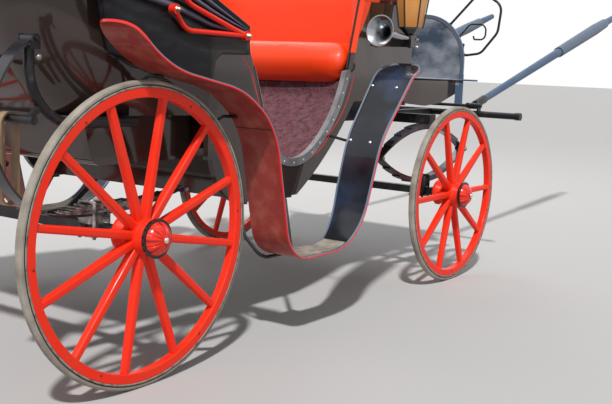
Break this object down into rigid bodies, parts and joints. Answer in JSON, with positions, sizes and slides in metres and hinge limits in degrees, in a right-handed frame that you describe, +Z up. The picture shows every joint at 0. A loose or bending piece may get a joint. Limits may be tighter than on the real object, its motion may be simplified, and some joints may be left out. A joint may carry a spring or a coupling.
{
  "type": "open horse-drawn carriage of the victoria kind",
  "caption": "Open four-wheeled passenger carriage with a stepped entry, folded hood, driver's box, sprung axles, long mudguards, spoked wooden wheels and hinged shafts.",
  "frame": {"origin": "on the ground under the middle of the whole length, shafts included, on the centre line", "axes": "+X forward, the way it drives; +Y to its left; +Z up"},
  "size_m": [5.7172, 1.664, 1.599],
  "materials": {
    "red_paint": "gloss",
    "tyre_rubber": "worn",
    "cap_paint": "gloss",
    "black_iron": "satin",
    "spring_steel": "worn",
    "black_gloss": "gloss",
    "body_wood": "lacquered",
    "bare_aluminium": "worn",
    "red_leather": "satin",
    "black_leather": "satin",
    "tan_leather": "worn",
    "carpet": "matte",
    "red_iron": "gloss",
    "bright_metal": "polished",
    "amber_glass": "clear",
    "lamp_paint": "gloss",
    "shaft_paint": "lacquered",
    "sleeve_leather": "satin",
    "tread_mat": "worn"
  },
  "bodies": {
    "carriage": {"rear_axle": "black_iron", "cee_springs": "spring_steel", "rear_spring_clips": "black_iron", "body_irons": "black_iron", "body_sides": "body_wood", "sill_strips": "bare_aluminium", "floor_pan": "body_wood", "carpet": "carpet", "floor_bearers": "body_wood", "rear_tub": "body_wood", "rear_boot": "body_wood", "seat_boards": "body_wood", "rear_cushion": "red_leather", "rear_seat_back": "red_leather", "front_cushion": "red_leather", "front_seat_back": "red_leather", "side_pads": "red_leather", "drivers_box": "body_wood", "driver_board": "body_wood", "driver_cushion": "red_leather", "driver_rail": "black_iron", "footboard": "body_wood", "dash": "black_gloss", "mudguards": "black_gloss", "step_treads": "tread_mat", "step_irons": "black_iron", "guard_stays": "black_iron", "hood": "black_leather", "hood_irons": "red_iron", "lamp_cases": "lamp_paint", "lamp_glasses": "amber_glass", "horn": "bright_metal", "scrolls": "black_iron", "crossbar": "black_iron", "strap_loops": "tan_leather", "upper_turntable": "black_iron", "king_pin": "black_iron"},
    "wheel_rear_near": {"wheel_rear_near": "red_paint", "tyre_rear_near": "tyre_rubber", "hub_cap_rear_near": "cap_paint"},
    "wheel_rear_far": {"wheel_rear_far": "red_paint", "tyre_rear_far": "tyre_rubber", "hub_cap_rear_far": "cap_paint"},
    "wheel_front_near": {"wheel_front_near": "red_paint", "tyre_front_near": "tyre_rubber", "hub_cap_front_near": "cap_paint"},
    "wheel_front_far": {"wheel_front_far": "red_paint", "tyre_front_far": "tyre_rubber", "hub_cap_front_far": "cap_paint"},
    "fore_carriage": {"fore_frame": "black_iron", "elliptic_springs": "spring_steel", "front_spring_clips": "black_iron", "front_axle": "black_iron", "splinter_bar": "black_iron"},
    "shafts": {"shaft_poles": "shaft_paint", "shaft_irons": "black_iron", "shaft_sleeves": "sleeve_leather"}
  },
  "joints": [
    {"name": "steering", "type": "hinge", "parent": "carriage", "child": "fore_carriage", "pos_m": [-0.1586, 0, 0.842], "axis": [0, 0, 1], "range_deg": [-60, 60]},
    {"name": "rear_near_spin", "type": "hinge", "parent": "carriage", "child": "wheel_rear_near", "pos_m": [-2.3586, -0.73, 0.5], "axis": [0, 1, 0], "continuous": true},
    {"name": "rear_far_spin", "type": "hinge", "parent": "carriage", "child": "wheel_rear_far", "pos_m": [-2.3586, 0.73, 0.5], "axis": [0, 1, 0], "continuous": true},
    {"name": "front_near_spin", "type": "hinge", "parent": "fore_carriage", "child": "wheel_front_near", "pos_m": [-0.1586, -0.73, 0.44], "axis": [0, 1, 0], "continuous": true},
    {"name": "front_far_spin", "type": "hinge", "parent": "fore_carriage", "child": "wheel_front_far", "pos_m": [-0.1586, 0.73, 0.44], "axis": [0, 1, 0], "continuous": true},
    {"name": "shaft_lift", "type": "hinge", "parent": "fore_carriage", "child": "shafts", "pos_m": [0.4914, 0, 0.859], "axis": [0, -1, 0], "range_deg": [-34, 35]}
  ]
}
